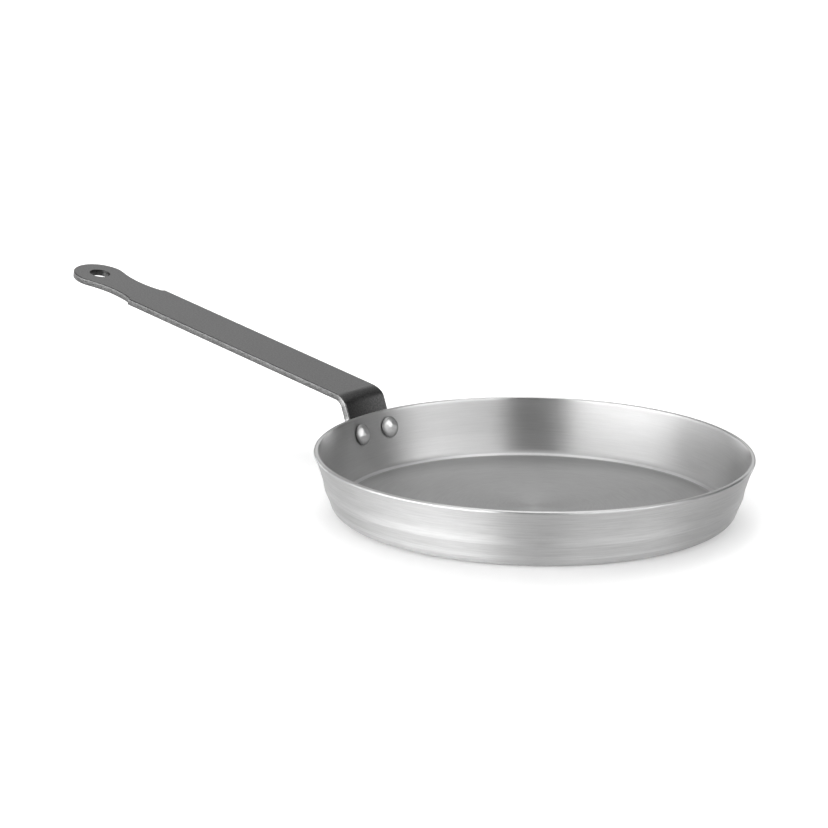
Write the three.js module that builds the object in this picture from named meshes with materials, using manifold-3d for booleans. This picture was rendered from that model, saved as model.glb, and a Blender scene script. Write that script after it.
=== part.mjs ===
// A crepe pan: a pressed steel dish, a handle bent from flat strip, and the two rivets that join them.
// Millimetres, +Z up. The origin is the centre of the base underside, and the handle runs along -X.

import * as THREE from 'three';
import { mergeVertices } from 'three/addons/utils/BufferGeometryUtils.js';
import Module from 'manifold-3d';

const wasm = await Module();
wasm.setup();
const { degToRad, lerp, smoothstep } = THREE.MathUtils;

// Dish: a round blank pressed into a pan with a soft ridge low in its wall and a slightly flared lip
const rimDiameter = 240;
const dishHeight = 33;
const sheet = 2.5;
const lipHeight = 6;
const lipAngle = degToRad(20);
const lipBlend = 30;
const wallAngle = degToRad(16.3);
const ridgeHeight = 13;
const ridgeBlend = 20;
const footAngle = degToRad(20.5);
const baseCorner = 7;
const rimEdge = 0.6;

// Handle: flat strip, with a palm rolled to the wall, a bend above the rim and a hanging eye.
// It widens a little through the bend, and again below the rim, where the rivets need room.
// A drop is measured down from the rim, and a rise up from it.
const handleAzimuth = Math.PI;
const stripWidth = 31;
const stripThickness = 3.7;
const stripEdge = 0.5;
const palmWidth = 39;
const palmDrop = 19;
const palmCorner = 7;
const flareLength = 8;
const uprightWidth = 32.6;
const bendRise = 11.4;
const bendInnerRadius = 5.5;
const gripAngle = degToRad(10);
const gripLength = 170;
const shoulderRun = 1.2;
const shoulderToNeck = 16;
const neckWidth = 22.8;
const neckToEye = 23;
const eyeWidth = 31;
const eyeHole = 11.5;

// Rivets: a domed head inside the dish and a smaller formed head on the palm
const rivetSpacing = 23.2;
const rivetDrop = 9.2;
const shankDiameter = 6;
const headDiameter = 12;
const headHeight = 2.7;
const tailDiameter = 10;
const tailHeight = 2.3;

// Clearances between pieces
const seatGap = 0.3;
const shankGap = 0.3;

// Fineness of the round forms
const dishSegments = 96;
const rivetSegments = 32;
const holeSegments = 32;
const arcSag = 0.05;
const flareSteps = 6;
const bendSteps = 8;
const acrossSteps = 6;
const drillOverrun = 3;
const weldDistance = 1e-4;

// Finish of each piece, as colour and roughness
const dishFinish = { color: 0xb4b5b6, roughness: 0.35 };
const handleFinish = { color: 0x77787a, roughness: 0.6 };
const rivetFinish = { color: 0xc8c9ca, roughness: 0.3 };

const vector = (x, y) => new THREE.Vector2(x, y);

// Welds a closed geometry into a solid that can be cut, and drops its collapsed triangles.
function toSolid(geometry) {
  const bare = new THREE.BufferGeometry();
  bare.setAttribute('position', geometry.getAttribute('position'));
  bare.setIndex(geometry.index);
  const welded = mergeVertices(bare, weldDistance);
  const corners = welded.index.array;
  const triangles = [];
  for (let first = 0; first < corners.length; first += 3) {
    const [a, b, c] = corners.slice(first, first + 3);
    if (a !== b && b !== c && c !== a) {
      triangles.push(a, b, c);
    }
  }
  const vertProperties = welded.getAttribute('position').array;
  const triVerts = new Uint32Array(triangles);
  return new wasm.Manifold(new wasm.Mesh({ numProp: 3, vertProperties, triVerts }));
}

function toGeometry(solid) {
  const { vertProperties, triVerts } = solid.getMesh();
  const geometry = new THREE.BufferGeometry();
  geometry.setAttribute('position', new THREE.BufferAttribute(vertProperties, 3));
  geometry.setIndex(new THREE.BufferAttribute(triVerts, 1));
  return geometry;
}

// Cuts every drill out of a closed geometry.
function drilled(geometry, drills) {
  const solid = drills.reduce((body, drill) => body.subtract(toSolid(drill)), toSolid(geometry));
  return toGeometry(solid);
}

// A drill along Z, centred on the origin.
function drillGeometry(diameter, length) {
  const radius = diameter / 2;
  return new THREE.CylinderGeometry(radius, radius, length, holeSegments).rotateX(Math.PI / 2);
}

// A path through the corners, each one between the ends rounded by its own radius.
function roundedPath(corners) {
  const path = new THREE.CurvePath();
  let reached = corners[0].at;
  corners.slice(1, -1).forEach(({ at, radius }, index) => {
    const back = corners[index].at.clone().sub(at).normalize();
    const ahead = corners[index + 2].at.clone().sub(at).normalize();
    const half = back.angleTo(ahead) / 2;
    const start = at.clone().addScaledVector(back, radius / Math.tan(half));
    const end = at.clone().addScaledVector(ahead, radius / Math.tan(half));
    const middle = back.clone().add(ahead).normalize();
    const centre = at.clone().addScaledVector(middle, radius / Math.sin(half));
    const from = start.clone().sub(centre).angle();
    const to = end.clone().sub(centre).angle();
    const clockwise = back.cross(ahead) > 0;
    path.add(new THREE.LineCurve(reached, start));
    path.add(new THREE.EllipseCurve(centre.x, centre.y, radius, radius, from, to, clockwise));
    reached = end;
  });
  path.add(new THREE.LineCurve(reached, corners.at(-1).at));
  return path;
}

// Arcs are cut so that no chord stands off its arc by more than the sag.
function curveSteps(curve) {
  if (curve.isEllipseCurve) {
    const step = 2 * Math.acos(1 - arcSag / curve.xRadius);
    return Math.ceil(curve.getLength() / curve.xRadius / step);
  }
  return curve.isCubicBezierCurve ? flareSteps : 1;
}

// The points of a path, without the repeats that come of joining its curves.
function pathPoints(path) {
  const points = path.curves.flatMap((curve) => curve.getPoints(curveSteps(curve)));
  return points.filter((point, index) => index === 0 || point.distanceTo(points[index - 1]) > weldDistance);
}

// Moves a corner of the outer face into the dish, so that the stretches on both sides move by the distance.
// Each stretch is given by its lean out from upright: a level base leans by a right angle.
function shiftIn(corner, leanBelow, leanAbove, distance) {
  const below = vector(-Math.cos(leanBelow), Math.sin(leanBelow));
  const above = vector(-Math.cos(leanAbove), Math.sin(leanAbove));
  const share = distance / (1 + below.dot(above));
  return corner.clone().addScaledVector(below.add(above), share);
}

// Dish: the sharp corners of its outer face, as radius and height. Rounding the rim loses a little radius.
const rimLoss = rimEdge / Math.tan((Math.PI / 2 - lipAngle) / 2) - rimEdge;
const rim = vector(rimDiameter / 2 + rimLoss, dishHeight);
const lip = vector(rim.x - lipHeight * Math.tan(lipAngle), rim.y - lipHeight);
const ridge = vector(lip.x - (lip.y - ridgeHeight) * Math.tan(wallAngle), ridgeHeight);
const foot = vector(ridge.x - ridge.y * Math.tan(footAngle), 0);

function dishGeometry() {
  const level = Math.PI / 2;
  const profile = roundedPath([
    { at: vector(0, 0) },
    { at: foot, radius: baseCorner },
    { at: ridge, radius: ridgeBlend },
    { at: lip, radius: lipBlend },
    { at: rim, radius: rimEdge },
    { at: vector(rim.x - sheet / Math.cos(lipAngle), rim.y), radius: rimEdge },
    { at: shiftIn(lip, wallAngle, lipAngle, sheet), radius: lipBlend + sheet },
    { at: shiftIn(ridge, footAngle, wallAngle, sheet), radius: ridgeBlend - sheet },
    { at: shiftIn(foot, level, footAngle, sheet), radius: baseCorner - sheet },
    { at: vector(0, sheet) },
  ]);
  return new THREE.LatheGeometry(pathPoints(profile), dishSegments).rotateX(Math.PI / 2);
}

// Handle spine: the face of the strip on the dish's side and on top, as reach from the axis and height
const palmLip = shiftIn(lip, wallAngle, lipAngle, -seatGap);
const palmFoot = vector(palmLip.x, rim.y - palmDrop);
palmFoot.x -= (palmLip.y - palmFoot.y) * Math.tan(wallAngle);
const bend = vector(palmLip.x, rim.y + bendRise);
bend.x += (bend.y - palmLip.y) * Math.tan(lipAngle);
const gripDirection = vector(Math.cos(gripAngle), Math.sin(gripAngle));
const onGrip = (reach) => bend.clone().addScaledVector(gripDirection, reach);
const neckReach = gripLength + shoulderToNeck;
const eyeReach = neckReach + neckToEye;
const tipReach = eyeReach + eyeWidth / 2;
const spine = roundedPath([
  { at: palmFoot },
  { at: palmLip, radius: lipBlend - seatGap },
  { at: bend, radius: bendInnerRadius + stripThickness },
  { at: onGrip(tipReach) },
]);
const spineLength = spine.getLength();
const [, , bendStart, bendEnd] = spine.getCurveLengths();

// Half of the strip's outline laid flat, from the foot of the palm to the tip of the eye
function halfOutline() {
  const half = stripWidth / 2;
  const palmHalf = palmWidth / 2;
  const uprightHalf = uprightWidth / 2;
  const neckHalf = neckWidth / 2;
  const eyeRadius = eyeWidth / 2;
  const flareEnd = palmDrop / Math.cos(wallAngle);
  const flareStart = flareEnd - flareLength;
  const flareMiddle = flareEnd - flareLength / 2;
  const alongGrip = (reach) => spineLength - tipReach + reach;
  const shoulder = alongGrip(gripLength);
  const neck = alongGrip(neckReach);
  const eye = alongGrip(eyeReach);

  // The neck's hollow arc runs smoothly into the round eye, so their centres lie both radii apart.
  const neckRadius = (neckToEye ** 2 + neckHalf ** 2 - eyeRadius ** 2) / (2 * (eyeRadius - neckHalf));
  const neckCentre = neckHalf + neckRadius;
  const join = Math.atan2(neckCentre, -neckToEye);
  const neckStart = -Math.PI / 2 - Math.asin((shoulderToNeck - shoulderRun) / neckRadius);

  const outline = new THREE.Path();
  outline.moveTo(0, palmHalf - palmCorner);
  outline.absarc(palmCorner, palmHalf - palmCorner, palmCorner, Math.PI, Math.PI / 2, true);
  outline.lineTo(flareStart, palmHalf);
  outline.bezierCurveTo(flareMiddle, palmHalf, flareMiddle, uprightHalf, flareEnd, uprightHalf);
  for (let step = 0; step <= bendSteps; step += 1) {
    const along = lerp(bendStart, bendEnd, step / bendSteps);
    outline.lineTo(along, lerp(uprightHalf, half, smoothstep(along, bendStart, bendEnd)));
  }
  outline.lineTo(shoulder, half);
  outline.absarc(neck, neckCentre, neckRadius, neckStart, join - Math.PI, false);
  outline.absarc(eye, 0, eyeRadius, join, 0, true);
  return pathPoints(outline);
}

// The half outline drawn in by a distance, along the mean direction of the stretches at each point.
function drawnIn(outline, distance) {
  return outline.map((point, index) => {
    const before = outline[Math.max(index - 1, 0)];
    const after = outline[Math.min(index + 1, outline.length - 1)];
    const heading = after.clone().sub(before).normalize();
    const inward = vector(heading.y, -heading.x);
    const moved = point.clone().addScaledVector(inward, distance);
    return vector(moved.x, Math.max(moved.y, 0));
  });
}

// The whole edge, counter-clockwise seen from the upper face: out along one side, back along the other,
// and across the foot.
function edgeLoop(outline) {
  const oneSide = outline.map(({ x, y }) => vector(x, -y));
  const otherSide = outline.slice().reverse();
  const across = [];
  for (let step = 1; step < acrossSteps; step += 1) {
    across.push(vector(outline[0].x, lerp(outline[0].y, -outline[0].y, step / acrossSteps)));
  }
  return [...oneSide, ...otherSide, ...across];
}

const sinc = (angle) => (angle === 0 ? 1 : Math.sin(angle) / angle);

// Bends a point of the flat strip, given along its length, across it and above its upper face.
// The palm is rolled round the dish, and the roll fades out through the bend, so the grip is flat.
function bent(along, across, height) {
  const share = Math.min(along / spineLength, 1);
  const at = spine.getPoint(share);
  const heading = spine.getTangent(share);
  const roll = heading.y / at.x * (1 - smoothstep(along, bendStart, bendEnd));
  const turn = across * roll;
  const sideways = across * sinc(turn) - height * Math.sin(turn);
  const lift = across * Math.sin(turn / 2) * sinc(turn / 2) + height * Math.cos(turn);
  return new THREE.Vector3(at.x - heading.y * lift, sideways, at.y + heading.x * lift);
}

function stripGeometry() {
  const positions = [];
  const addQuad = (a, b, c, d) => [a, b, c, a, c, d].forEach((corner) => positions.push(...corner));
  const outline = halfOutline();
  const faceOutline = drawnIn(outline, stripEdge);

  // Upper and lower faces, in rows across the strip
  const faceRows = (height) => faceOutline.map(({ x, y }) => (
    Array.from({ length: acrossSteps + 1 }, (_, step) => bent(x, lerp(-y, y, step / acrossSteps), height))
  ));
  const upper = faceRows(0);
  const lower = faceRows(-stripThickness);
  for (let row = 0; row + 1 < upper.length; row += 1) {
    for (let step = 0; step < acrossSteps; step += 1) {
      addQuad(upper[row][step], upper[row + 1][step], upper[row + 1][step + 1], upper[row][step + 1]);
      addQuad(lower[row][step], lower[row][step + 1], lower[row + 1][step + 1], lower[row + 1][step]);
    }
  }

  // Edge, with both of its corners broken
  const ring = (points, height) => edgeLoop(points).map(({ x, y }) => bent(x, y, height));
  const rings = [
    ring(faceOutline, 0),
    ring(outline, -stripEdge),
    ring(outline, stripEdge - stripThickness),
    ring(faceOutline, -stripThickness),
  ];
  for (let level = 0; level + 1 < rings.length; level += 1) {
    const above = rings[level];
    const below = rings[level + 1];
    above.forEach((corner, index) => {
      const next = (index + 1) % above.length;
      addQuad(below[index], below[next], above[next], corner);
    });
  }

  const geometry = new THREE.BufferGeometry();
  geometry.setAttribute('position', new THREE.Float32BufferAttribute(positions, 3));
  return geometry;
}

// Rivet: spun round Z, which points into the dish, with zero on the inner face of the wall
const rivetHeight = rim.y - rivetDrop;
const wallReach = ridge.x + (rivetHeight - ridge.y) * Math.tan(wallAngle) - sheet / Math.cos(wallAngle);
const stack = sheet + seatGap + stripThickness;

function rivetGeometry() {
  const headSag = (headDiameter / 2) ** 2 / (2 * wallReach);
  const headSeat = seatGap + headSag;
  const tailSeat = -stack - seatGap;
  const profile = new THREE.Path();
  profile.moveTo(0, tailSeat - tailHeight);
  profile.absellipse(0, tailSeat, tailDiameter / 2, tailHeight, -Math.PI / 2, 0, false);
  profile.lineTo(shankDiameter / 2, tailSeat);
  profile.lineTo(shankDiameter / 2, headSeat);
  profile.lineTo(headDiameter / 2, headSeat);
  profile.absellipse(0, headSeat, headDiameter / 2, headHeight, 0, Math.PI / 2, false);
  const geometry = new THREE.LatheGeometry(pathPoints(profile), rivetSegments).rotateX(Math.PI / 2);
  return toGeometry(toSolid(geometry));
}

// Assembly

function namedMesh(name, geometry, finish) {
  const mesh = new THREE.Mesh(geometry, new THREE.MeshStandardMaterial({ ...finish, metalness: 1 }));
  mesh.name = name;
  return mesh;
}

// A rivet on one side of the handle, set square to the wall, in a group that turns it round the dish
function rivetOnWall(name, side) {
  const seat = new THREE.Group();
  seat.rotation.z = side * Math.asin(rivetSpacing / 2 / wallReach);
  const rivet = namedMesh(name, rivetGeometry(), rivetFinish);
  rivet.position.set(wallReach, 0, rivetHeight);
  rivet.rotation.y = wallAngle - Math.PI / 2;
  seat.add(rivet);
  seat.updateMatrixWorld();
  return { seat, rivet };
}

const rivets = [rivetOnWall('rivet_left', -1), rivetOnWall('rivet_right', 1)];
const rivetDrills = rivets.map(({ rivet }) => (
  drillGeometry(shankDiameter + 2 * shankGap, drillOverrun * stack)
    .translate(0, 0, -stack / 2)
    .applyMatrix4(rivet.matrixWorld)
));
const eyeCentre = onGrip(eyeReach);
const eyeDrill = drillGeometry(eyeHole, drillOverrun * stripThickness)
  .rotateY(-gripAngle)
  .translate(eyeCentre.x, 0, eyeCentre.y);

const assembly = new THREE.Group();
assembly.rotation.z = handleAzimuth;
assembly.add(namedMesh('pan_body', drilled(dishGeometry(), rivetDrills), dishFinish));
assembly.add(namedMesh('handle', drilled(stripGeometry(), [...rivetDrills, eyeDrill]), handleFinish));
rivets.forEach(({ seat }) => assembly.add(seat));

const pan = new THREE.Group();
pan.add(assembly);

export default pan;
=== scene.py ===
"""Dresses the crepe pan: a spun steel dish, a handle bent from flat strip and two rivets, on a pale table."""

import math
from typing import NamedTuple

import bpy
from mathutils import Matrix, Vector
from mathutils.geometry import delaunay_2d_cdt


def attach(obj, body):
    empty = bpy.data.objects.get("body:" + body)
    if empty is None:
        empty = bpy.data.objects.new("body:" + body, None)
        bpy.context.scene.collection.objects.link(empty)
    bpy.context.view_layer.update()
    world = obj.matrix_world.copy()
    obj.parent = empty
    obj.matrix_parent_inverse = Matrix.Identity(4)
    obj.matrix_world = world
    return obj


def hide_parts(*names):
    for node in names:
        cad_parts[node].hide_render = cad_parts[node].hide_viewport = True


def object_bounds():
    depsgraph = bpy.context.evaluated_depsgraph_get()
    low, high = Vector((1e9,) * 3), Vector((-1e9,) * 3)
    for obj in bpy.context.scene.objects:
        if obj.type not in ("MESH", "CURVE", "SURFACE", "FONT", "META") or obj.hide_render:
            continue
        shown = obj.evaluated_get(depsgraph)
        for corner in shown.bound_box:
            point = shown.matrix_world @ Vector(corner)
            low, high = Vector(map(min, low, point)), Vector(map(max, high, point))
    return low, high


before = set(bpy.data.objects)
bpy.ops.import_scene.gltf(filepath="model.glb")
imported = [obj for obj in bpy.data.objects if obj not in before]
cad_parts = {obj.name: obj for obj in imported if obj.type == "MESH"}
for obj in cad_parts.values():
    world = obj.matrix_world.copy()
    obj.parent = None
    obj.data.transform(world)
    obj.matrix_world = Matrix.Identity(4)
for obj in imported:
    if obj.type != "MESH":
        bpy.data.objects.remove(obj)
cad_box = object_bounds()

MM = 0.001

# Dish: the same sizes as the solid, in metres, with the rim just inside the solid's box
BOX_MARGIN = 0.005 * MM
RIM_RADIUS = cad_box[1][0] - BOX_MARGIN
DISH_HEIGHT = 33 * MM
SHEET = 2.5 * MM
LIP_HEIGHT = 6 * MM
LIP_ANGLE = math.radians(20)
LIP_BLEND = 30 * MM
WALL_ANGLE = math.radians(16.3)
RIDGE_HEIGHT = 13 * MM
RIDGE_BLEND = 20 * MM
FOOT_ANGLE = math.radians(20.5)
BASE_CORNER = 7 * MM
RIM_EDGE = 0.6 * MM

# Fine form that spinning leaves on the outer face, within half a millimetre of the solid: a rounded rim,
# a lip that sweeps out to it, a fuller wall above the ridge, and a narrow step above the base
RIM_ROUNDING = 1.1 * MM
INNER_ROUNDING = 0.8 * MM
SWEEP_HEIGHT = 28 * MM
SWEEP_ANGLE = math.radians(26)
SWEEP_BLEND = 40 * MM
UPPER_ANGLE = math.radians(17.3)
BELLY_HEIGHT = 17.5 * MM
BELLY_ANGLE = math.radians(8.5)
BELLY_BLEND = 25 * MM
CREASE_BLEND = 12 * MM
BAND_ANGLE = math.radians(23.3)
STEP_HEIGHT = 7 * MM
STEP_ANGLE = math.radians(17)
STEP_BLEND = 14 * MM

# Handle
STRIP_WIDTH = 31 * MM
STRIP_THICKNESS = 3.7 * MM
STRIP_EDGE = 0.5 * MM
PALM_WIDTH = 39 * MM
PALM_DROP = 19 * MM
PALM_CORNER = 7 * MM
FLARE_LENGTH = 8 * MM
UPRIGHT_WIDTH = 32.6 * MM
BEND_RISE = 11.4 * MM
BEND_INNER_RADIUS = 5.5 * MM
GRIP_ANGLE = math.radians(10)
GRIP_LENGTH = 170 * MM
SHOULDER_RUN = 1.2 * MM
SHOULDER_TO_NECK = 16 * MM
NECK_WIDTH = 22.8 * MM
NECK_TO_EYE = 23 * MM
EYE_WIDTH = 31 * MM
EYE_HOLE = 11.5 * MM

# Rivets, and the hammer's dents in their heads
RIVET_SPACING = 23.2 * MM
RIVET_DROP = 9.2 * MM
SHANK_DIAMETER = 6 * MM
HEAD_DIAMETER = 12 * MM
HEAD_HEIGHT = 2.7 * MM
TAIL_DIAMETER = 10 * MM
TAIL_HEIGHT = 2.3 * MM
DENT_SEED = 1.0
DENT_SIZE = 3.5 * MM
DENT_DEPTH = 0.5 * MM

# Clearances between pieces, and the drill for the rivets
SEAT_GAP = 0.3 * MM
SHANK_GAP = 0.3 * MM
SHANK_HOLE = SHANK_DIAMETER + 2 * SHANK_GAP
DRILL_LENGTH = 4 * SHEET

# Fineness of the meshes
DISH_SEGMENTS = 384
DISH_ARC_POINTS = 10
RIVET_SEGMENTS = 64
DOME_STEPS = 16
SPINE_ARC_POINTS = 40
BEND_ROWS = 28
ARC_STEP = math.radians(4)
EDGE_STEPS = 4
EDGE_SUPPORT = 0.4 * MM
EDGE_BORDER = STRIP_EDGE + EDGE_SUPPORT
PALM_GRID = 2 * MM
WELD = 0.001 * MM
SHARP_ANGLE = math.radians(40)

# How the triangulation is asked for the faces inside the borders, and how near two points may lie
FILL_INSIDE = 1
FILL_TOLERANCE = 1e-6 * MM

# Added to a divisor that could be nothing
NEVER_ZERO = 1e-6

# Every finish: the height of its bump, and the middle of a noise
BUMP_DISTANCE = 0.2 * MM
NOISE_MIDDLE = 0.5

# Finish of the dish: steel brushed round its axis, with fine and broad streaks. Across is how many lie in a
# metre, and round is how much they change in a turn of the dish.
STEEL_GREY = 0.6
FINE_ACROSS = 900
FINE_ROUND = 5
BROAD_ACROSS = 72
BROAD_ROUND = 3
BROAD_SHARE = 0.3
STREAKS = 0.14
OUTER_STREAKS = 0.16
FLOOR_STREAKS = 0.1
FINE_DULLING = 0.08
BROAD_DULLING = 0.06
BRUSH_BUMP = 0.12
BRUSH_TURN = 0.25
WALL_ROUGHNESS = 0.38
WALL_BRUSHING = 0.93

# The outer face's finish ends between two depths in the sheet
OUTER_FULL_DEPTH = 0.5 * SHEET
OUTER_END_DEPTH = 0.7 * SHEET

# The floor is darkened with painted shade, and is duller than the wall and brushed less clearly in one
# direction
FLOOR_RADIUS = 104.5 * MM
FLOOR_FADE = 3 * MM
FLOOR_SHADE = 0.4
FLOOR_ROUGHNESS = 0.48
FLOOR_BRUSHING = 0.35

# Bands brightened with painted highlights, each as its two edges and how far it fades across them: by height
# on the outer face, and by radius where the floor turns up into the wall. That band and the rim are polished
# too.
RIDGE_HIGHLIGHT_BAND = (RIDGE_HEIGHT, BELLY_HEIGHT, 0.8 * MM, 4 * MM)
STEP_HIGHLIGHT_BAND = (4.6 * MM, 6.6 * MM, 0.8 * MM, 0.8 * MM)
FILLET_BAND = (104 * MM, 106.5 * MM, 0.6 * MM, 1 * MM)
BAND_HIGHLIGHT_GAIN = 0.08
FILLET_HIGHLIGHT_GAIN = 0.5
POLISH = 0.1
RIM_FADE = 0.4 * RIM_ROUNDING

# Finish of the handle: dull strip with a fine grain, brighter cut sides, corners between the two darkened
# with painted shade, and a bore in the eye that is dark with painted shade on the side of the tip
STRIP_GREY = 0.012
GRAIN_GREY = 0.16
GRAIN_SCALE = 1000.0
GRAIN_DULLING = 0.1
GRAIN_BUMP = 0.15
CLOUD_GREY = 0.015
CLOUD_SCALE = 60.0
CLOUD_DULLING = 0.06
STRIP_ROUGHNESS = 0.26
SIDE_GAIN = 0.95
CORNER_START = (0.1, 0.5)
CORNER_END = (0.9, 1.0)
CORNER_SHADE = 0.6
BORE_SHADE = 0.7
BORE_START = EYE_HOLE / 8
BORE_FULL = EYE_HOLE / 4

# Finish of the rivets: bright at the crown of the head, duller towards its edge, and darker there with
# painted shade
HEAD_SHADED_GREY = 0.15
HEAD_ROUGHNESS = 0.46
CROWN_GREY = 0.45
CROWN_POLISH = 0.12
SCUFF_GREY = 0.14
SCUFF_SCALE = 900.0
SCUFF_DULLING = 0.12
SCUFF_BUMP = 0.1

# Table: it looks white, and a little less so near the pan, where its shadow lies. Its glow is painted light:
# it fades towards the pan, painting the shadow's shape there, and the steel sees a painted glow near the pan
TABLE_HALF = 12.0
TABLE_GAP = 0.05 * MM
TABLE_WHITE = 0.85
SEEN_GLOW_NEAR = 0.15
SEEN_GLOW_FAR = 0.5
MIRRORED_PAINTED_GLOW = 0.12
GLOW_START = 105 * MM
GLOW_END = 180 * MM
GLOW_NARROWING = 1.2
GLOW_AHEAD = 15 * MM

# Camera, as the photograph was taken: places are in metres from the dish's axis
VIEW_AZIMUTH = math.radians(38.3)
VIEW_DISTANCE = 2.0992
VIEW_HEIGHT = 0.60318
VIEW_SWING = math.radians(1.796)
VIEW_HEADING = VIEW_AZIMUTH + VIEW_SWING
VIEW_TILT = math.radians(14.692)
VIEW_ROLL = math.radians(0.821)
IMAGE_WIDTH = 828
FOCAL_PIXELS = 4000
SENSOR_WIDTH = 36


class Wire:
    """An output socket in a node tree. Arithmetic on wires adds Math nodes to the tree."""

    def __init__(self, tree, socket=None):
        self.tree = tree
        self.socket = socket

    def node(self, kind, settings=None, inputs=None, output=0):
        """Adds a node: its settings first, then its sockets' values or links. Gives one of its outputs."""
        made = self.tree.nodes.new(kind)
        for name, value in (settings or {}).items():
            setattr(made, name, value)
        for key, value in (inputs or {}).items():
            if isinstance(value, Wire):
                self.tree.links.new(value.socket, made.inputs[key])
            else:
                made.inputs[key].default_value = value
        return Wire(self.tree, made.outputs[output]) if made.outputs else None

    def beside(self, output):
        """Another output of the node that this wire comes from."""
        return Wire(self.tree, self.socket.node.outputs[output])

    def math(self, operation, *values):
        return self.node("ShaderNodeMath", {"operation": operation}, dict(enumerate(values)))

    def to(self, operation, *values):
        """This value put through a Math operation, with any further values."""
        return self.math(operation, self, *values)

    def parts(self):
        """The X, Y and Z of a vector."""
        split = self.node("ShaderNodeSeparateXYZ", inputs={0: self})
        return split, split.beside(1), split.beside(2)

    def vector(self, x, y, z):
        return self.node("ShaderNodeCombineXYZ", inputs={0: x, 1: y, 2: z})

    def span(self, low, high, to_low=0.0, to_high=1.0, kind="LINEAR"):
        """This value mapped from one range to another, and held at its ends."""
        inputs = {0: self, 1: low, 2: high, 3: to_low, 4: to_high}
        return self.node("ShaderNodeMapRange", {"interpolation_type": kind}, inputs)

    def rising(self, edge, fade):
        """Nothing below an edge and one above it. With no fade there is no edge."""
        return self.span(edge - fade / 2, edge + fade / 2, kind="SMOOTHSTEP") if fade else 1

    def falling(self, edge, fade):
        """One below an edge and nothing above it. With no fade there is no edge."""
        return self.span(edge - fade / 2, edge + fade / 2, 1.0, 0.0, "SMOOTHSTEP") if fade else 1

    def between(self, low, high, fade_low, fade_high):
        """One between two edges and nothing outside them, fading across each."""
        return self.rising(low, fade_low) * self.falling(high, fade_high)

    def __add__(self, other):
        return self.math("ADD", self, other)

    def __radd__(self, other):
        return self.math("ADD", other, self)

    def __sub__(self, other):
        return self.math("SUBTRACT", self, other)

    def __rsub__(self, other):
        return self.math("SUBTRACT", other, self)

    def __mul__(self, other):
        return self.math("MULTIPLY", self, other)

    def __rmul__(self, other):
        return self.math("MULTIPLY", other, self)

    def __truediv__(self, other):
        return self.math("DIVIDE", self, other)

    def __rtruediv__(self, other):
        return self.math("DIVIDE", other, self)


# Trees of geometry nodes

def new_tree(name, inputs):
    """A geometry tree with named inputs after its geometry, and a wire from each of them."""
    tree = bpy.data.node_groups.new(name, "GeometryNodeTree")
    tree.interface.new_socket("Geometry", in_out="INPUT", socket_type="NodeSocketGeometry")
    for label, kind in inputs.items():
        tree.interface.new_socket(label, in_out="INPUT", socket_type=f"NodeSocket{kind}")
    tree.interface.new_socket("Geometry", in_out="OUTPUT", socket_type="NodeSocketGeometry")
    start = tree.nodes.new("NodeGroupInput")
    return tree, {socket.name: Wire(tree, socket) for socket in start.outputs if socket.name}


def end_tree(tree, geometry):
    end = tree.nodes.new("NodeGroupOutput")
    tree.links.new(geometry.socket, end.inputs[0])


def stored(wire, name, kind="FLOAT"):
    """A named attribute of the geometry."""
    return wire.node("GeometryNodeInputNamedAttribute", {"data_type": kind}, {"Name": name})


def geometry_of(holder):
    """The geometry of an object that is an input of the tree."""
    return holder.node("GeometryNodeObjectInfo", inputs={0: holder}, output="Geometry")


def rounded(line, arc_points):
    """A line of sharp corners as a curve, each corner rounded by its own stored radius."""
    curve = line.node("GeometryNodeMeshToCurve", inputs={0: line})
    radius = stored(line, "rounding")
    inputs = {"Curve": curve, "Count": arc_points, "Radius": radius, "Limit Radius": True}
    return line.node("GeometryNodeFilletCurve", {"mode": "POLY"}, inputs)


def spun(profile, segments):
    """A profile curve in the XZ plane spun round Z into a closed skin."""
    rows = profile.node("GeometryNodeAttributeDomainSize", {"component": "CURVE"}, {0: profile})
    grid = profile.node("GeometryNodeMeshGrid", inputs={0: 1.0, 1: 1.0, 2: segments + 1, 3: rows})
    index = profile.node("GeometryNodeInputIndex")
    row = index.to("MODULO", rows)
    angle = (index - row) / rows * (math.tau / segments)
    position = profile.node("GeometryNodeInputPosition")
    inputs = {"Geometry": profile, "Value": position, "Index": row}
    sample = profile.node("GeometryNodeSampleIndex", {"data_type": "FLOAT_VECTOR"}, inputs)
    radius, _, height = sample.parts()
    place = profile.vector(radius * angle.to("COSINE"), radius * angle.to("SINE"), height)
    skin = profile.node("GeometryNodeSetPosition", inputs={"Geometry": grid, "Position": place})
    return profile.node("GeometryNodeMergeByDistance", inputs={"Geometry": skin, "Distance": WELD})


def set_on(points, piece):
    """A piece set on every point, turned to the direction that the point faces, as a plain mesh."""
    facing = stored(points, "facing", "FLOAT_VECTOR")
    turned = points.node("FunctionNodeAlignRotationToVector", {"axis": "Z"}, {"Vector": facing})
    inputs = {"Points": points, "Instance": piece, "Rotation": turned}
    placed = points.node("GeometryNodeInstanceOnPoints", inputs=inputs)
    return points.node("GeometryNodeRealizeInstances", inputs={"Geometry": placed})


def coated(geometry, material):
    """The last steps of every tree: plain mesh, smooth faces and its material."""
    plain = geometry.node("GeometryNodeRealizeInstances", inputs={"Geometry": geometry})
    smooth = geometry.node("GeometryNodeSetShadeSmooth", inputs={"Geometry": plain})
    return geometry.node("GeometryNodeSetMaterial", inputs={"Geometry": smooth, "Material": material})


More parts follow.
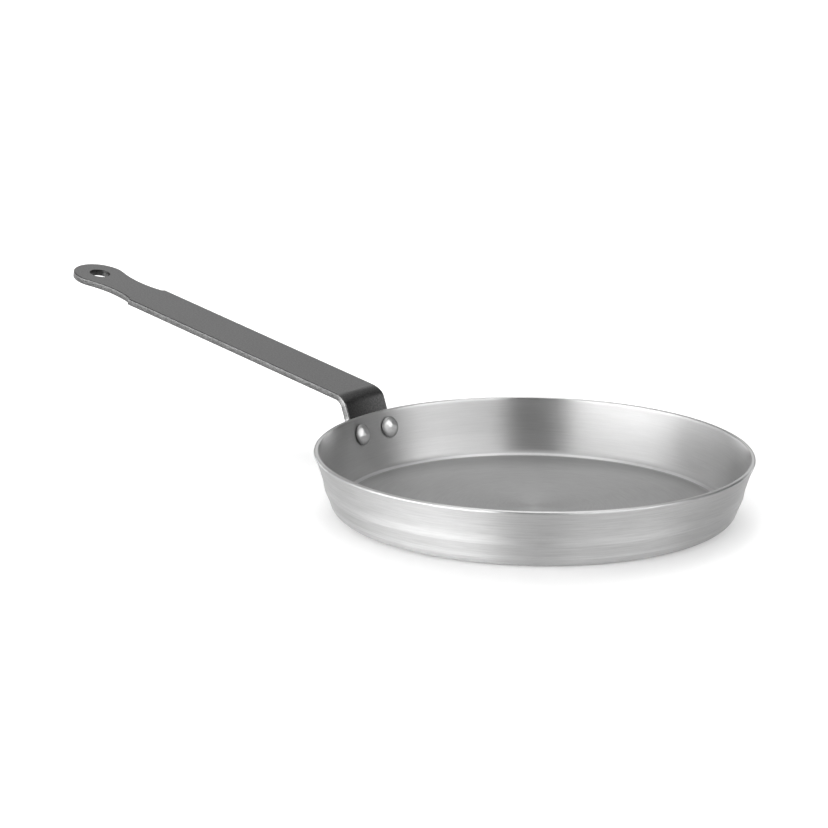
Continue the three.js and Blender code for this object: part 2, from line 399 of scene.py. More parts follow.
def grown(name, mesh, tree, values):
    """A plain mesh object, grown from a seed mesh by a geometry tree with the given inputs."""
    seed = bpy.data.objects.new(f"{name}_seed", mesh)
    bpy.context.scene.collection.objects.link(seed)
    modifier = seed.modifiers.new("grow", "NODES")
    modifier.node_group = tree
    for item in tree.interface.items_tree:
        if item.in_out == "INPUT" and item.name in values:
            modifier[item.identifier] = values[item.name]
    evaluated = seed.evaluated_get(bpy.context.evaluated_depsgraph_get())
    piece = bpy.data.objects.new(name, bpy.data.meshes.new_from_object(evaluated))
    piece.data.materials.clear()
    piece.data.materials.append(values["Material"])
    seed.modifiers.remove(modifier)
    bpy.data.objects.remove(seed)
    bpy.context.scene.collection.objects.link(piece)
    return piece


def corner_line(name, corners):
    """A line in the XZ plane through corners, each given as reach, height and the radius that rounds it."""
    mesh = bpy.data.meshes.new(name)
    points = [(reach, 0, height) for reach, height, _ in corners]
    mesh.from_pydata(points, [(i, i + 1) for i in range(len(points) - 1)], [])
    rounding = mesh.attributes.new("rounding", "FLOAT", "POINT")
    rounding.data.foreach_set("value", [radius for _, _, radius in corners])
    return mesh


def helper(name, mesh):
    """An object that only a tree reads, and that is removed when the tree has run."""
    made = bpy.data.objects.new(name, mesh)
    bpy.context.scene.collection.objects.link(made)
    return made


# Dish

def lean(angle):
    """The direction into the dish from a stretch of its outer face that leans out by an angle."""
    return Vector((-math.cos(angle), math.sin(angle)))


def shift_in(corner, lean_below, lean_above, distance):
    """A corner of the outer face moved into the dish, so that both stretches move by the distance."""
    below, above = lean(lean_below), lean(lean_above)
    return corner + (below + above) * (distance / (1 + below.dot(above)))


def sharp_rim(rounding, angle):
    """The rim's outer corner before it is rounded, so that the rounded rim reaches the rim's radius."""
    return Vector((RIM_RADIUS + rounding / math.tan((math.pi / 2 - angle) / 2) - rounding, DISH_HEIGHT))


def down_from(corner, angle, height):
    """The next corner below one on the outer face, at a height, where the face leans out by an angle."""
    return Vector((corner.x - (corner.y - height) * math.tan(angle), height))


# Corners of the solid's outer face
RIM = sharp_rim(RIM_EDGE, LIP_ANGLE)
LIP = RIM - Vector((LIP_HEIGHT * math.tan(LIP_ANGLE), LIP_HEIGHT))
RIDGE = down_from(LIP, WALL_ANGLE, RIDGE_HEIGHT)
FOOT = down_from(RIDGE, FOOT_ANGLE, 0)
WALL_FOOT = RIDGE.x - RIDGE.y * math.tan(WALL_ANGLE)

# Where the rivets pass through the inner face of the wall
RIVET_HEIGHT = DISH_HEIGHT - RIVET_DROP
WALL_REACH = RIDGE.x + (RIVET_HEIGHT - RIDGE.y) * math.tan(WALL_ANGLE) - SHEET / math.cos(WALL_ANGLE)


def dish_profile():
    """The section of the dish, from the middle of its base out to the rim and back in to its floor."""
    rim = sharp_rim(RIM_ROUNDING, SWEEP_ANGLE)
    sweep = down_from(rim, SWEEP_ANGLE, SWEEP_HEIGHT)
    belly = down_from(sweep, UPPER_ANGLE, BELLY_HEIGHT)
    ridge = down_from(belly, BELLY_ANGLE, RIDGE_HEIGHT)
    step = down_from(ridge, BAND_ANGLE, STEP_HEIGHT)
    foot = down_from(step, STEP_ANGLE, 0)
    inner_rim = RIM - Vector((SHEET / math.cos(LIP_ANGLE), 0))
    inner_lip = shift_in(LIP, WALL_ANGLE, LIP_ANGLE, SHEET)
    inner_ridge = shift_in(RIDGE, FOOT_ANGLE, WALL_ANGLE, SHEET)
    inner_foot = shift_in(FOOT, math.pi / 2, FOOT_ANGLE, SHEET)
    return corner_line("dish_profile", [
        (0, 0, 0),
        (*foot, BASE_CORNER),
        (*step, STEP_BLEND),
        (*ridge, CREASE_BLEND),
        (*belly, BELLY_BLEND),
        (*sweep, SWEEP_BLEND),
        (*rim, RIM_ROUNDING),
        (*inner_rim, INNER_ROUNDING),
        (*inner_lip, LIP_BLEND + SHEET),
        (*inner_ridge, RIDGE_BLEND - SHEET),
        (*inner_foot, BASE_CORNER - SHEET),
        (0, SHEET, 0),
    ])


def dish_tree():
    """Spins the dish, and drills it for the rivets."""
    tree, wires = new_tree("spin the dish", {
        "Segments": "Int",
        "Arc Points": "Int",
        "Rivets": "Object",
        "Hole Radius": "Float",
        "Drill Length": "Float",
        "Material": "Material",
    })
    skin = spun(rounded(wires["Geometry"], wires["Arc Points"]), wires["Segments"])
    points = geometry_of(wires["Rivets"])
    inputs = {"Vertices": RIVET_SEGMENTS, "Radius": wires["Hole Radius"], "Depth": wires["Drill Length"]}
    drills = set_on(points, skin.node("GeometryNodeMeshCylinder", inputs=inputs))
    inputs = {"Mesh 1": skin, "Mesh 2": drills}
    drilled = skin.node("GeometryNodeMeshBoolean", {"operation": "DIFFERENCE", "solver": "EXACT"}, inputs)
    end_tree(tree, coated(drilled, wires["Material"]))
    return tree


# Handle

# Corners of the strip's upper face, seen from the side
PALM_LIP = shift_in(LIP, WALL_ANGLE, LIP_ANGLE, -SEAT_GAP)
PALM_FOOT_HEIGHT = DISH_HEIGHT - PALM_DROP
PALM_FOOT = down_from(PALM_LIP, WALL_ANGLE, PALM_FOOT_HEIGHT)
BEND_HEIGHT = DISH_HEIGHT + BEND_RISE
BEND = Vector((PALM_LIP.x + (BEND_HEIGHT - PALM_LIP.y) * math.tan(LIP_ANGLE), BEND_HEIGHT))
NECK_REACH = GRIP_LENGTH + SHOULDER_TO_NECK
EYE_REACH = NECK_REACH + NECK_TO_EYE
TIP_REACH = EYE_REACH + EYE_WIDTH / 2
TIP = BEND + Vector((math.cos(GRIP_ANGLE), math.sin(GRIP_ANGLE))) * TIP_REACH
LIP_RADIUS = LIP_BLEND - SEAT_GAP
BEND_RADIUS = BEND_INNER_RADIUS + STRIP_THICKNESS

# Lengths along the strip, from the foot of the palm
LIP_TURN = LIP_ANGLE - WALL_ANGLE
BEND_TURN = math.pi / 2 - LIP_ANGLE - GRIP_ANGLE
LIP_CUT = LIP_RADIUS * math.tan(LIP_TURN / 2)
BEND_CUT = BEND_RADIUS * math.tan(BEND_TURN / 2)
UPRIGHT_LENGTH = (BEND - PALM_LIP).length - LIP_CUT - BEND_CUT
BEND_START = (PALM_LIP - PALM_FOOT).length - LIP_CUT + LIP_RADIUS * LIP_TURN + UPRIGHT_LENGTH
BEND_END = BEND_START + BEND_RADIUS * BEND_TURN
GRIP_START = BEND_END - BEND_CUT
EYE_ALONG = GRIP_START + EYE_REACH


def smooth_step(value):
    return value * value * (3 - 2 * value)


def arc(centre, radius, start, end):
    """Points on an arc, both ends included."""
    steps = math.ceil(abs(end - start) / ARC_STEP)
    angles = [start + (end - start) * step / steps for step in range(steps + 1)]
    return [Vector((centre[0] + radius * math.cos(a), centre[1] + radius * math.sin(a))) for a in angles]


def circle(centre, radius):
    return arc(centre, radius, 0, math.tau)[:-1]


def eased(start, end, low, high, steps):
    """Points from one half width to another, eased at both ends."""
    shares = [step / steps for step in range(steps + 1)]
    return [Vector((start + (end - start) * s, low + (high - low) * smooth_step(s))) for s in shares]


def half_outline():
    """Half of the strip laid flat, from the foot of the palm to the tip of the eye."""
    widths = (PALM_WIDTH, UPRIGHT_WIDTH, STRIP_WIDTH, NECK_WIDTH, EYE_WIDTH)
    palm, upright, strip, neck, eye = (width / 2 for width in widths)
    flare_end = PALM_DROP / math.cos(WALL_ANGLE)
    neck_radius = (NECK_TO_EYE ** 2 + neck ** 2 - eye ** 2) / (2 * (eye - neck))
    neck_centre = neck + neck_radius
    join = math.atan2(neck_centre, -NECK_TO_EYE)
    neck_start = -math.pi / 2 - math.asin((SHOULDER_TO_NECK - SHOULDER_RUN) / neck_radius)
    points = arc((PALM_CORNER, palm - PALM_CORNER), PALM_CORNER, math.pi, math.pi / 2)
    points += eased(flare_end - FLARE_LENGTH, flare_end, palm, upright, BEND_ROWS // 2)
    points += eased(BEND_START, BEND_END, upright, strip, BEND_ROWS)
    points.append(Vector((GRIP_START + GRIP_LENGTH, strip)))
    points += arc((GRIP_START + NECK_REACH, neck_centre), neck_radius, neck_start, join - math.pi)
    points += arc((EYE_ALONG, 0), eye, join, 0)[1:]
    return points


def whole_outline():
    """The strip's outline, counter-clockwise seen from its upper face."""
    half = half_outline()
    out = [Vector((p.x, -p.y)) for p in half]
    back = half[-2::-1]
    width = 2 * half[0].y
    steps = math.ceil(width / PALM_GRID)
    foot = [Vector((0, half[0].y - width * step / steps)) for step in range(1, steps)]
    return out + back + foot


def drawn_in(loop, distance):
    """A counter-clockwise loop moved inwards by a distance."""
    moved = []
    for index, point in enumerate(loop):
        before = (point - loop[index - 1]).normalized().orthogonal()
        after = (loop[(index + 1) % len(loop)] - point).normalized().orthogonal()
        moved.append(point + (before + after) * (distance / (1 + before.dot(after))))
    return moved


def rivet_places():
    """Where the rivets pass through the strip while it is flat, so that they do so too when it is rolled."""
    depth = SHEET + SEAT_GAP
    reach = WALL_REACH + depth * math.cos(WALL_ANGLE)
    height = RIVET_HEIGHT - depth * math.sin(WALL_ANGLE)
    roll = math.asin(RIVET_SPACING / 2 / WALL_REACH * math.cos(WALL_ANGLE))
    lift = reach * (1 - math.cos(roll)) * math.tan(WALL_ANGLE)
    along = (height - lift - PALM_FOOT_HEIGHT) / math.cos(WALL_ANGLE)
    across = reach * roll / math.cos(WALL_ANGLE)
    return [(along, -across), (along, across)]


def strip_holes():
    """The centre and the radius of each hole in the flat strip."""
    return [((EYE_ALONG, 0), EYE_HOLE / 2)] + [(place, SHANK_HOLE / 2) for place in rivet_places()]


def edge_rows():
    """How far in and how high each row of the strip's rounded edge lies, from its upper face to its lower."""
    angles = [math.pi / 2 * step / EDGE_STEPS for step in range(EDGE_STEPS + 1)]
    upper = [(STRIP_EDGE * (1 - math.sin(a)), STRIP_EDGE * (math.cos(a) - 1)) for a in angles]
    upper.insert(0, (EDGE_BORDER, 0))
    lower = [(inset, -STRIP_THICKNESS - height) for inset, height in reversed(upper)]
    return upper + lower


def edge_shares():
    """How far round its rounded edge each row of the strip lies: nothing on the faces, one on the side."""
    upper = [0.0] + [step / EDGE_STEPS for step in range(EDGE_STEPS + 1)]
    return upper + upper[::-1]


def strip_edges(holes):
    """The rounded edge of the outline and of each hole, as rows of points from top to bottom."""
    insets = [inset for inset, _ in edge_rows()]
    outline = whole_outline()
    edges = [[drawn_in(outline, inset) for inset in insets]]
    edges += [[circle(centre, radius + inset)[::-1] for inset in insets] for centre, radius in holes]
    return edges


def edge_faces(first, size, rows):
    """Faces between the rows of one edge, whose points start at an index."""
    faces = []
    for level in range(rows - 1):
        upper, lower = first + level * size, first + (level + 1) * size
        for index in range(size):
            after = (index + 1) % size
            faces.append((lower + index, lower + after, upper + after, upper + index))
    return faces


def inner_points(edges):
    """Points inside the palm and the bend, where the strip isn't flat, clear of its edges and holes."""
    rows = [PALM_GRID * step for step in range(1, int(BEND_START / PALM_GRID))]
    rows += [BEND_START + (BEND_END - BEND_START) * step / BEND_ROWS for step in range(BEND_ROWS + 1)]
    half_count = int(PALM_WIDTH / 2 / PALM_GRID)
    columns = range(-half_count, half_count + 1)
    edge_points = [point for edge in edges for point in edge[0]]
    outer = half_outline()

    def half_width(along):
        """Half of the strip's width at a length along it, and nothing at the palm's corners."""
        if along <= PALM_CORNER:
            return 0
        return min(p.y for p in outer if abs(p.x - along) < PALM_GRID * 2)

    points = [Vector((row, column * PALM_GRID)) for row in rows for column in columns]
    inside = [p for p in points if abs(p.y) < half_width(p.x) - EDGE_BORDER]
    centres = [Vector(place) for place in rivet_places()]
    reach = SHANK_HOLE / 2 + EDGE_BORDER
    clear = [p for p in inside if all((p - centre).length > reach for centre in centres)]
    return [p for p in clear if min((p - q).length for q in edge_points) > PALM_GRID / 4]


def flat_face(edges, holes, inner):
    """Triangles between the upper rows of the edges, as numbers of their points and of the inner points."""
    points, borders = [], []
    for edge in edges:
        start, size = len(points), len(edge[0])
        points += edge[0]
        borders += [(start + index, start + (index + 1) % size) for index in range(size)]
    points += inner
    _, _, filled, sources, _, _ = delaunay_2d_cdt(points, borders, [], FILL_INSIDE, FILL_TOLERANCE)
    triangles = []
    for face in filled:
        corners = [sources[corner][0] for corner in face]
        middle = sum((points[corner] for corner in corners), Vector((0, 0))) / len(corners)
        if all((middle - Vector(centre)).length >= radius + EDGE_BORDER for centre, radius in holes):
            triangles.append(corners)
    return triangles


def flat_strip():
    """The strip laid flat, with rounded edges and its holes: X along it, Y across it, Z up from its top."""
    holes = strip_holes()
    edges = strip_edges(holes)
    inner = inner_points(edges)
    heights = [height for _, height in edge_rows()]
    vertices, shares, faces, upper, lower = [], [], [], [], []
    for edge in edges:
        first, size = len(vertices), len(edge[0])
        for row, height, share in zip(edge, heights, edge_shares()):
            vertices += [(p.x, p.y, height) for p in row]
            shares += [share] * size
        faces += edge_faces(first, size, len(edge))
        upper += range(first, first + size)
        lower += range(len(vertices) - size, len(vertices))
    for point in inner:
        upper.append(len(vertices))
        lower.append(len(vertices) + 1)
        vertices += [(point.x, point.y, 0), (point.x, point.y, -STRIP_THICKNESS)]
        shares += [0.0, 0.0]
    for corners in flat_face(edges, holes, inner):
        faces.append([upper[corner] for corner in corners])
        faces.append([lower[corner] for corner in reversed(corners)])
    mesh = bpy.data.meshes.new("flat_strip")
    mesh.from_pydata(vertices, [], faces)
    mesh.attributes.new("edge", "FLOAT", "POINT").data.foreach_set("value", shares)
    return mesh


def handle_tree():
    """Bends the flat strip along its spine, its palm rolled round the dish. The roll fades in the bend."""
    tree, wires = new_tree("bend the strip", {
        "Spine": "Object",
        "Arc Points": "Int",
        "Bend Start": "Float",
        "Bend End": "Float",
        "Material": "Material",
    })
    strip = wires["Geometry"]
    position = strip.node("GeometryNodeInputPosition")
    inputs = {"Geometry": strip, "Name": "flat", "Value": position}
    kept = strip.node("GeometryNodeStoreNamedAttribute", {"data_type": "FLOAT_VECTOR"}, inputs)
    along, across, height = position.parts()
    spine = rounded(geometry_of(wires["Spine"]), wires["Arc Points"])
    inputs = {"Curves": spine, "Length": along}
    sample = strip.node("GeometryNodeSampleCurve", {"mode": "LENGTH"}, inputs, output="Position")
    reach, _, rise = sample.parts()
    ahead, _, upward = sample.beside("Tangent").parts()
    fading = along.span(wires["Bend Start"], wires["Bend End"], 1.0, 0.0, "SMOOTHSTEP")
    turn = across * (upward / reach * fading) + NEVER_ZERO
    half_turn = turn / 2
    sideways = across * turn.to("SINE") / turn - height * turn.to("SINE")
    lift = across * half_turn.to("SINE") * half_turn.to("SINE") / half_turn + height * turn.to("COSINE")
    place = strip.vector(upward * lift - reach, 0 - sideways, rise + ahead * lift)
    bent = strip.node("GeometryNodeSetPosition", inputs={"Geometry": kept, "Position": place})
    end_tree(tree, coated(bent, wires["Material"]))
    return tree


def spine_line():
    """The line that the strip's upper face follows, from the foot of the palm to the tip."""
    return corner_line("spine", [
        (*PALM_FOOT, 0),
        (*PALM_LIP, LIP_RADIUS),
        (*BEND, BEND_RADIUS),
        (*TIP, 0),
    ])


# Rivets

# Undersides of a rivet's two heads, measured from the inner face of the wall
HEAD_SEAT = SEAT_GAP + (HEAD_DIAMETER / 2) ** 2 / (2 * WALL_REACH)
TAIL_SEAT = -(SHEET + SEAT_GAP + STRIP_THICKNESS) - SEAT_GAP


def rivet_profile():
    """The rivet's outline, spun round Z, which points into the dish from the inner face of the wall."""
    quarter = [math.pi / 2 * step / DOME_STEPS for step in range(DOME_STEPS + 1)]
    tail = [(TAIL_DIAMETER / 2 * math.sin(a), TAIL_SEAT - TAIL_HEIGHT * math.cos(a), 0) for a in quarter]
    shank = [(SHANK_DIAMETER / 2, TAIL_SEAT, 0), (SHANK_DIAMETER / 2, HEAD_SEAT, 0)]
    head = [(HEAD_DIAMETER / 2 * math.cos(a), HEAD_SEAT + HEAD_HEIGHT * math.sin(a), 0) for a in quarter]
    return corner_line("rivet_profile", tail + shank + head)


def rivet_points():
    """A point on the wall for each rivet, with the direction that its head faces."""
    mesh = bpy.data.meshes.new("rivet_points")
    turn = math.asin(RIVET_SPACING / 2 / WALL_REACH)
    around = [math.pi - turn, math.pi + turn]
    places = [(WALL_REACH * math.cos(a), WALL_REACH * math.sin(a), RIVET_HEIGHT) for a in around]
    mesh.from_pydata(places, [], [])
    flat = math.cos(WALL_ANGLE)
    facing = mesh.attributes.new("facing", "FLOAT_VECTOR", "POINT")
    for item, a in zip(facing.data, around):
        item.vector = (-flat * math.cos(a), -flat * math.sin(a), math.sin(WALL_ANGLE))
    return mesh


def rivet_tree():
    """Spins a rivet, sets one on every point, and dents their heads as a hammer does."""
    tree, wires = new_tree("set the rivets", {
        "Profile": "Object",
        "Segments": "Int",
        "Seed": "Float",
        "Dent Size": "Float",
        "Dent Depth": "Float",
        "Material": "Material",
    })
    points = wires["Geometry"]
    rivet = spun(rounded(geometry_of(wires["Profile"]), 1), wires["Segments"])
    _, _, height = points.node("GeometryNodeInputPosition").parts()
    crown = height.span(HEAD_SEAT, HEAD_SEAT + HEAD_HEIGHT, kind="SMOOTHSTEP")
    inputs = {"Geometry": rivet, "Name": "crown", "Value": crown}
    rivet = points.node("GeometryNodeStoreNamedAttribute", inputs=inputs)
    plain = set_on(points, rivet)
    inputs = {"W": wires["Seed"], "Scale": 1 / wires["Dent Size"]}
    blow = points.node("ShaderNodeTexVoronoi", {"voronoi_dimensions": "4D"}, inputs, output="Distance")
    bowl = (blow * blow).to("MINIMUM", 1.0) - 1
    depth = bowl * stored(points, "crown") * wires["Dent Depth"]
    normal = points.node("GeometryNodeInputNormal")
    offset = points.node("ShaderNodeVectorMath", {"operation": "SCALE"}, {0: normal, "Scale": depth})
    dented = points.node("GeometryNodeSetPosition", inputs={"Geometry": plain, "Offset": offset})
    end_tree(tree, coated(dented, wires["Material"]))
    return tree


# Materials

def new_material(name):
    """An empty node material, and a wire to build it with."""
    material = bpy.data.materials.new(name)
    material.use_nodes = True
    material.node_tree.nodes.clear()
    return material, Wire(material.node_tree)


def end_material(wire, shader):
    wire.node("ShaderNodeOutputMaterial", inputs={"Surface": shader})


def grey(wire, value):
    """A grey colour from a value."""
    return wire.node("ShaderNodeCombineColor", inputs={0: value, 1: value, 2: value})


def noise(wire, place, scale, detail, roughness=0.5):
    inputs = {"Vector": place, "Scale": scale, "Detail": detail, "Roughness": roughness}
    return wire.node("ShaderNodeTexNoise", inputs=inputs)


def bump(wire, height, strength):
    inputs = {"Strength": strength, "Distance": BUMP_DISTANCE, "Height": height}
    return wire.node("ShaderNodeBump", inputs=inputs)


def attribute(wire, name, output):
    """An attribute that the piece's tree has stored on its mesh."""
    return wire.node("ShaderNodeAttribute", {"attribute_name": name}, output=output)


def pan_steel():
    """Bare sheet steel, brushed round the dish's axis, with painted highlights on bands and painted shade on
    its floor.
    """
    material, wire = new_material("brushed_steel")
    x, y, z = wire.node("ShaderNodeTexCoord", output="Object").parts()
    radius = (x * x + y * y).to("SQRT") + NEVER_ZERO

    def streaks(across, round_count, detail, roughness=0.5):
        """Noise drawn out round the axis."""
        ring = (radius + z) * across
        place = wire.vector(ring, x / radius * round_count, y / radius * round_count)
        return noise(wire, place, 1.0, detail, roughness)

    fine = streaks(FINE_ACROSS, FINE_ROUND, detail=4.0, roughness=0.7)
    broad = streaks(BROAD_ACROSS, BROAD_ROUND, detail=3.0)
    brushed_height = bump(wire, fine, BRUSH_BUMP)
    straightened = radius - z * math.tan(WALL_ANGLE)
    outside = straightened.span(WALL_FOOT - OUTER_END_DEPTH, WALL_FOOT - OUTER_FULL_DEPTH)
    inside = radius.span(FLOOR_RADIUS - FLOOR_FADE, FLOOR_RADIUS, 1.0, 0.0, "SMOOTHSTEP")
    # Painted highlights: bands of the outer face brightened in colour
    highlight_bands = outside * (z.between(*RIDGE_HIGHLIGHT_BAND) + z.between(*STEP_HIGHLIGHT_BAND))
    # The fillet is polished, and its colour brightened with a painted highlight
    fillet = radius.between(*FILLET_BAND) * z.to("GREATER_THAN", SHEET / 2) * (1 - outside)
    rim = z.span(DISH_HEIGHT - RIM_ROUNDING - RIM_FADE, DISH_HEIGHT - RIM_ROUNDING)
    depth = STREAKS + outside * OUTER_STREAKS + inside * FLOOR_STREAKS
    streaked = STEEL_GREY + (fine - NOISE_MIDDLE) * depth + (broad - NOISE_MIDDLE) * depth * BROAD_SHARE
    # The floor's colour is darkened with painted shade
    colour = grey(wire, streaked * (1 + highlight_bands * BAND_HIGHLIGHT_GAIN + fillet * FILLET_HIGHLIGHT_GAIN - inside * FLOOR_SHADE))
    dull = fine * FINE_DULLING + broad * BROAD_DULLING - fillet * POLISH - rim * POLISH

    def brushed(roughness, anisotropy):
        return wire.node("ShaderNodeBsdfPrincipled", inputs={
            "Base Color": colour,
            "Metallic": 1.0,
            "Roughness": roughness + dull,
            "Anisotropic": anisotropy,
            "Anisotropic Rotation": BRUSH_TURN,
            "Normal": brushed_height,
        })

    wall = brushed(WALL_ROUGHNESS, WALL_BRUSHING)
    floor = brushed(FLOOR_ROUGHNESS, FLOOR_BRUSHING)
    end_material(wire, wire.node("ShaderNodeMixShader", inputs={0: inside, 1: wall, 2: floor}))
    return material


def handle_steel():
    """Dull grey strip steel with a fine grain, and painted shade at its rounded corners and in the eye's
    bore.
    """
    material, wire = new_material("dull_strip_steel")
    flat = attribute(wire, "flat", "Vector")
    grain = noise(wire, flat, GRAIN_SCALE, detail=3.0, roughness=0.6)
    cloud = noise(wire, flat, CLOUD_SCALE, detail=4.0)
    side = attribute(wire, "edge", "Fac")
    # Painted shade: the rounded corners between the faces and the cut sides are darkened
    corner = side.span(*CORNER_START) * side.span(*CORNER_END, 1.0, 0.0)
    along, across, _ = flat.parts()
    from_eye = along - EYE_ALONG
    off_eye = (from_eye * from_eye + across * across).to("SQRT")
    bore = off_eye.span(EYE_HOLE / 2, EYE_HOLE / 2 + STRIP_EDGE, 1.0, 0.0)
    # Painted shade inside the eye's bore, on the side of the tip
    bore_shade = bore * from_eye.span(BORE_START, BORE_FULL)
    mottled = STRIP_GREY + grain * GRAIN_GREY + cloud * CLOUD_GREY
    clean = mottled * (1 + side * SIDE_GAIN) * (1 - corner * CORNER_SHADE)
    shader = wire.node("ShaderNodeBsdfPrincipled", inputs={
        "Base Color": grey(wire, clean * (1 - bore_shade * BORE_SHADE)),
        "Metallic": 1.0,
        "Roughness": STRIP_ROUGHNESS + grain * GRAIN_DULLING + cloud * CLOUD_DULLING,
        "Normal": bump(wire, grain, GRAIN_BUMP),
    })
    end_material(wire, shader)
    return material


def rivet_steel():
    """Bright steel, softly marked by the hammer, with painted shade darkening each head towards its edge."""
    material, wire = new_material("hammered_steel")
    place = wire.node("ShaderNodeTexCoord", output="Object")
    scuff = noise(wire, place, SCUFF_SCALE, detail=4.0)
    crown = attribute(wire, "crown", "Fac")
    shader = wire.node("ShaderNodeBsdfPrincipled", inputs={
        # Painted shade: each head darkens from its crown down to its edge at the wall
        "Base Color": grey(wire, HEAD_SHADED_GREY + crown * CROWN_GREY + scuff * SCUFF_GREY),
        "Metallic": 1.0,
        "Roughness": HEAD_ROUGHNESS - crown * CROWN_POLISH + scuff * SCUFF_DULLING,
        "Normal": bump(wire, scuff, SCUFF_BUMP),
    })
    end_material(wire, shader)
    return material


# Pieces

def keep(piece, slot, *nodes):
    """Puts a finished piece in the place of its CAD nodes."""
    piece.data.set_sharp_from_angle(angle=SHARP_ANGLE)
    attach(piece, "root")
    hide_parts(*nodes)


def make_dish():
    """The dish, drilled for its rivets."""
    points = helper("drill_points", rivet_points())
    values = {
        "Segments": DISH_SEGMENTS,
        "Arc Points": DISH_ARC_POINTS,
        "Rivets": points,
        "Hole Radius": SHANK_HOLE / 2,
        "Drill Length": DRILL_LENGTH,
        "Material": pan_steel(),
    }
    dish = grown("dish", dish_profile(), dish_tree(), values)
    bpy.data.objects.remove(points)
    keep(dish, "pan_steel", "pan_body")


def make_handle():
    """The handle, bent from its flat strip."""
    spine = helper("spine", spine_line())
    values = {
        "Spine": spine,
        "Arc Points": SPINE_ARC_POINTS,
        "Bend Start": BEND_START,
        "Bend End": BEND_END,
        "Material": handle_steel(),
    }
    strip = grown("strip_handle", flat_strip(), handle_tree(), values)
    bpy.data.objects.remove(spine)
    keep(strip, "handle_steel", "handle")


def make_rivets():
    """Both rivets, as one mesh."""
    profile = helper("rivet_outline", rivet_profile())
    values = {
        "Profile": profile,
        "Segments": RIVET_SEGMENTS,
        "Seed": DENT_SEED,
        "Dent Size": DENT_SIZE,
        "Dent Depth": DENT_DEPTH,
        "Material": rivet_steel(),
    }
    rivets = grown("rivets", rivet_points(), rivet_tree(), values)
    bpy.data.objects.remove(profile)
    keep(rivets, "rivet_steel", "rivet_left", "rivet_right")


# Table

def seen_from_front(x, y):
    """A level direction or place turned to the photograph's view: how far to the viewer, and to the right."""
    front = VIEW_AZIMUTH - math.pi / 2
    return x * math.cos(front) + y * math.sin(front), y * math.cos(front) - x * math.sin(front)


def table_white():
    """White paint, with a glow of painted light that only the camera and the steel see, shaped round the
    pan's shadow.
    """
    material, wire = new_material("table_white")
    seen = wire.node("ShaderNodeLightPath", output="Is Camera Ray")
    mirrored = seen.beside("Is Glossy Ray")
    paint = wire.node("ShaderNodeBsdfDiffuse", inputs={"Color": (TABLE_WHITE, TABLE_WHITE, TABLE_WHITE, 1)})
    x, y, _ = wire.node("ShaderNodeTexCoord", output="Object").parts()
    ahead, right = seen_from_front(x, y)
    ahead = ahead - GLOW_AHEAD
    reach = (ahead * ahead + right * right * GLOW_NARROWING ** 2).to("SQRT")
    # Painted shadow: the camera's glow fades towards the pan; painted reflection: the steel sees a glow near
    # it
    paler = reach.span(GLOW_START, GLOW_END, SEEN_GLOW_NEAR, SEEN_GLOW_FAR, "SMOOTHSTEP")
    near = reach.span(GLOW_START, GLOW_END, MIRRORED_PAINTED_GLOW, 0.0, "SMOOTHSTEP")
    glow = wire.node("ShaderNodeEmission", inputs={"Strength": seen * paler + mirrored * near})
    end_material(wire, wire.node("ShaderNodeAddShader", inputs={0: paint, 1: glow}))
    return material


def make_table():
    """The table, which is not part of the pan."""
    mesh = bpy.data.meshes.new("table")
    signs = [(-1, -1), (1, -1), (1, 1), (-1, 1)]
    corners = [(x * TABLE_HALF, y * TABLE_HALF, -TABLE_GAP) for x, y in signs]
    mesh.from_pydata(corners, [], [(0, 1, 2, 3)])
    mesh.materials.append(table_white())
    table = bpy.data.objects.new("table", mesh)
    bpy.context.scene.collection.objects.link(table)


# Light

class Softbox(NamedTuple):
    """A soft patch of light, in degrees. Turn is measured from the camera's side to the right, and rise from
    level. It fades across its two side edges, by an angle for each, and across both its level edges."""

    turn: tuple
    side_fade: tuple
    rise: tuple
    level_fade: float
    light: float


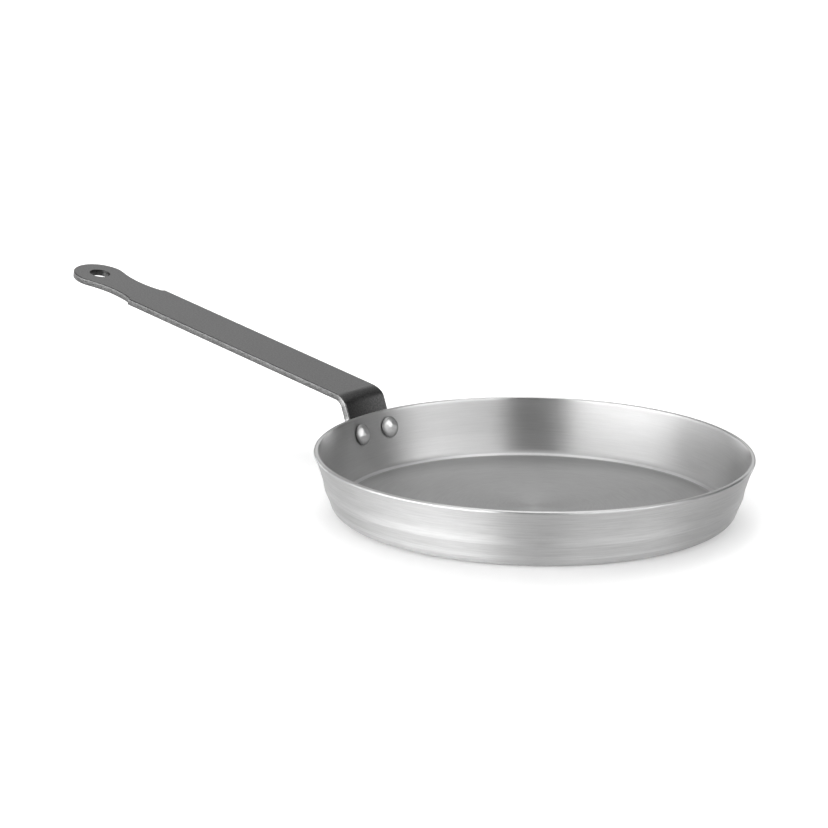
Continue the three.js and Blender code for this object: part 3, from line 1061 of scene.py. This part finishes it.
ROOM_LIGHT = 0.03
SOFTBOXES = {
    "left_strip": Softbox((-110, -17), (100, 50), (-20, 7), 14, 7.4),
    "left_softbox": Softbox((-84, -19), (78, 14), (-40, 24), 44, 5.9),
    "left_wall": Softbox((-142, -60), (24, 60), (14, 54), 18, 0.8),
    "right_softbox": Softbox((18, 86), (5, 30), (18, 43), 12, 3.9),
    "right_low": Softbox((46, 100), (24, 30), (9, 18), 12, 1.8),
    "right_wall": Softbox((118, 165), (20, 20), (28, 50), 12, 0.65),
    "back_wall": Softbox((155, 200), (24, 14), (11, 27), 10, 1.3),
    "back_strip_left": Softbox((-155, -130), (10, 30), (-20, 6), 8, 4.2),
    "back_strip_right": Softbox((137, 153), (16, 10), (-20, 6), 8, 4.2),
    "back_softbox": Softbox((168, 192), (20, 20), (34, 66), 12, 3.4),
    "top_softbox": Softbox((-180, 180), (0, 0), (62, 110), 16, 1.6),
}


def softbox_light(turn, rise, box):
    """What a softbox gives from a direction."""
    start, end = (math.radians(angle) for angle in box.turn)
    low, high = (math.radians(angle) for angle in box.rise)
    fades = [math.radians(angle) for angle in box.side_fade]
    level = math.radians(box.level_fade)
    offset = (turn - (start + end) / 2).to("WRAP", math.pi, -math.pi)
    half = (end - start) / 2
    return offset.between(-half, half, *fades) * rise.between(low, high, level, level) * box.light


def make_light():
    """The studio's light, all of it from patches of the world."""
    world = bpy.data.worlds.new("studio")
    world.use_nodes = True
    world.node_tree.nodes.clear()
    bpy.context.scene.world = world
    wire = Wire(world.node_tree)
    x, y, z = wire.node("ShaderNodeTexCoord", output="Generated").parts()
    ahead, right = seen_from_front(x, y)
    turn = right.to("ARCTAN2", ahead)
    rise = z.to("ARCSINE")
    light = sum((softbox_light(turn, rise, box) for box in SOFTBOXES.values()), ROOM_LIGHT)
    sky = wire.node("ShaderNodeBackground", inputs={"Strength": light})
    wire.node("ShaderNodeOutputWorld", inputs={"Surface": sky})


# Camera

def make_camera():
    """The camera, where the photograph was taken from."""
    data = bpy.data.cameras.new("camera")
    data.sensor_width = SENSOR_WIDTH
    data.lens = FOCAL_PIXELS / IMAGE_WIDTH * SENSOR_WIDTH
    camera = bpy.data.objects.new("camera", data)
    place = Vector((
        VIEW_DISTANCE * math.sin(VIEW_AZIMUTH),
        -VIEW_DISTANCE * math.cos(VIEW_AZIMUTH),
        VIEW_HEIGHT,
    ))
    camera.matrix_world = (
        Matrix.Translation(place)
        @ Matrix.Rotation(VIEW_HEADING, 4, "Z")
        @ Matrix.Rotation(math.pi / 2 - VIEW_TILT, 4, "X")
        @ Matrix.Rotation(VIEW_ROLL, 4, "Z")
    )
    bpy.context.scene.collection.objects.link(camera)
    bpy.context.scene.camera = camera


make_camera()
make_light()
make_table()
make_dish()
make_handle()
make_rivets()
bpy.context.scene.view_settings.view_transform = "Standard"
